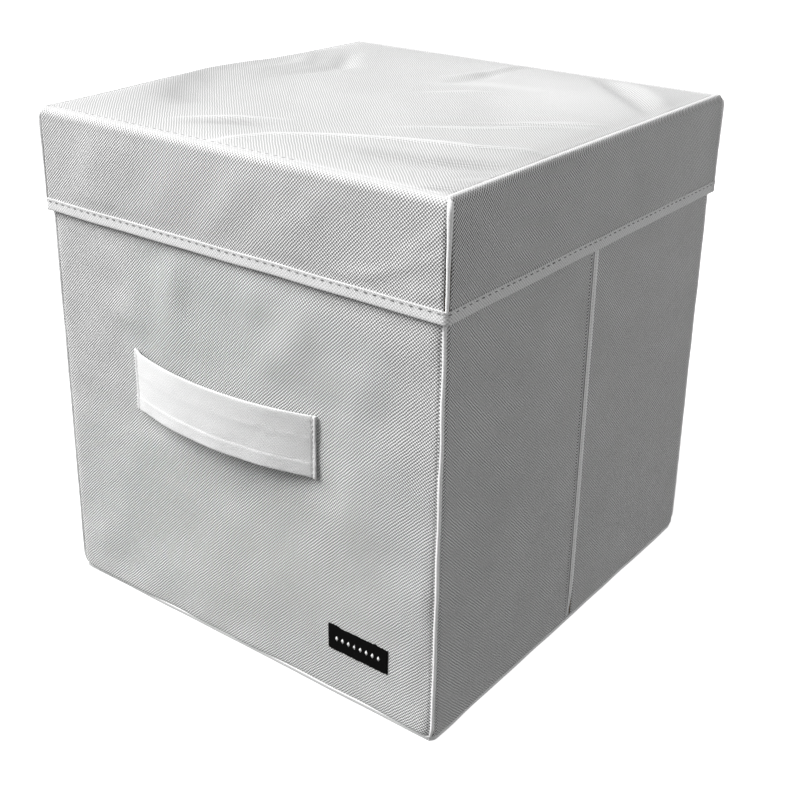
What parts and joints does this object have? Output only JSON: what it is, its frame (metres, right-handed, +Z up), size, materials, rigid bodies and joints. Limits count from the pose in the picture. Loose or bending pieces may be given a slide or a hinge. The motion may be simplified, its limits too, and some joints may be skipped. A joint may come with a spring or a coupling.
{
  "type": "fabric storage bin",
  "caption": "Cube-shaped foldable storage bin of non-woven fabric over board, with a lift-off lid, a front strap handle and a small woven tag.",
  "frame": {"origin": "centre of the base, on the surface that the bin stands on", "axes": "+Z up, -Y out of the front wall that carries the handle and the tag, +X to the right seen from the front"},
  "size_m": [0.307, 0.3231, 0.3245],
  "materials": {
    "outer_fabric": "matt embossed spunbond non-woven, light grey",
    "lining_fabric": "matt embossed spunbond non-woven, light grey, thin",
    "base_fabric": "matt embossed spunbond non-woven, light grey",
    "insert_cover": "matt embossed spunbond non-woven, light grey",
    "binding_tape": "soft white non-woven tape, stitched",
    "piping": "white non-woven tape over cord",
    "handle_webbing": "white non-woven strap folded in layers",
    "tag_weave": "black woven damask",
    "cardboard": "raw grey-brown board"
  },
  "bodies": {
    "back_wall": {"back_fabric": "outer_fabric", "back_board": "cardboard", "back_lining": "lining_fabric", "back_rim_binding": "binding_tape", "back_left_corner_piping": "piping", "back_right_corner_piping": "piping", "base_fabric": "base_fabric"},
    "front_wall": {"front_fabric": "outer_fabric", "front_board": "cardboard", "front_lining": "lining_fabric", "front_rim_binding": "binding_tape", "front_left_corner_piping": "piping", "front_right_corner_piping": "piping", "handle_strap": "handle_webbing", "front_tag": "tag_weave"},
    "base_insert": {"base_insert_board": "cardboard", "base_insert_cover": "insert_cover"},
    "left_rear_panel": {"left_rear_fabric": "outer_fabric", "left_rear_board": "cardboard", "left_rear_lining": "lining_fabric", "left_rear_rim_binding": "binding_tape", "left_seam_piping": "piping"},
    "left_front_panel": {"left_front_fabric": "outer_fabric", "left_front_board": "cardboard", "left_front_lining": "lining_fabric", "left_front_rim_binding": "binding_tape"},
    "right_rear_panel": {"right_rear_fabric": "outer_fabric", "right_rear_board": "cardboard", "right_rear_lining": "lining_fabric", "right_rear_rim_binding": "binding_tape", "right_seam_piping": "piping"},
    "right_front_panel": {"right_front_fabric": "outer_fabric", "right_front_board": "cardboard", "right_front_lining": "lining_fabric", "right_front_rim_binding": "binding_tape"},
    "lid": {"lid_back_skirt_board": "cardboard", "lid_back_skirt_fabric": "outer_fabric", "lid_back_skirt_lining": "lining_fabric", "lid_front_left_piping": "piping", "lid_front_right_piping": "piping", "lid_front_skirt_board": "cardboard", "lid_front_skirt_fabric": "outer_fabric", "lid_front_skirt_lining": "lining_fabric", "lid_hem_binding": "binding_tape", "lid_left_skirt_board": "cardboard", "lid_left_skirt_fabric": "outer_fabric", "lid_left_skirt_lining": "lining_fabric", "lid_rear_left_piping": "piping", "lid_rear_right_piping": "piping", "lid_right_skirt_board": "cardboard", "lid_right_skirt_fabric": "outer_fabric", "lid_right_skirt_lining": "lining_fabric", "lid_top_board": "cardboard", "lid_top_fabric": "outer_fabric", "lid_top_lining": "lining_fabric"}
  },
  "joints": [
    {"name": "wall_fold", "type": "hinge", "parent": "back_wall", "child": "right_rear_panel", "pos_m": [0.147, 0.146, 0.163], "axis": [0, 0, -1], "range_deg": [0, 90], "deforming": ["base_fabric"]},
    {"name": "right_middle_fold", "type": "hinge", "parent": "right_rear_panel", "child": "right_front_panel", "pos_m": [0.1505, 0, 0.163], "axis": [0, 0, 1], "range_deg": [0, 180]},
    {"name": "front_right_corner_fold", "type": "hinge", "parent": "right_front_panel", "child": "front_wall", "pos_m": [0.147, -0.146, 0.163], "axis": [0, 0, -1], "range_deg": [0, 90]},
    {"name": "back_left_corner_fold", "type": "hinge", "parent": "back_wall", "child": "left_rear_panel", "pos_m": [-0.147, 0.146, 0.163], "axis": [0, 0, 1], "range_deg": [0, 90]},
    {"name": "left_middle_fold", "type": "hinge", "parent": "left_rear_panel", "child": "left_front_panel", "pos_m": [-0.1505, 0, 0.163], "axis": [0, 0, -1], "range_deg": [0, 180]},
    {"name": "base_insert_tip", "type": "hinge", "parent": "back_wall", "child": "base_insert", "pos_m": [0, 0.1481, 0.0024], "axis": [-1, 0, 0], "range_deg": [0, 90]},
    {"name": "lid_lift", "type": "slide", "parent": "back_wall", "child": "lid", "axis": [0, 0, 1], "range_m": [0, 0.1]}
  ],
  "couplings": [
    {"joint": "right_middle_fold", "follows": "wall_fold", "ratio": 2},
    {"joint": "front_right_corner_fold", "follows": "wall_fold", "ratio": 1},
    {"joint": "back_left_corner_fold", "follows": "wall_fold", "ratio": 1},
    {"joint": "left_middle_fold", "follows": "wall_fold", "ratio": 2}
  ]
}
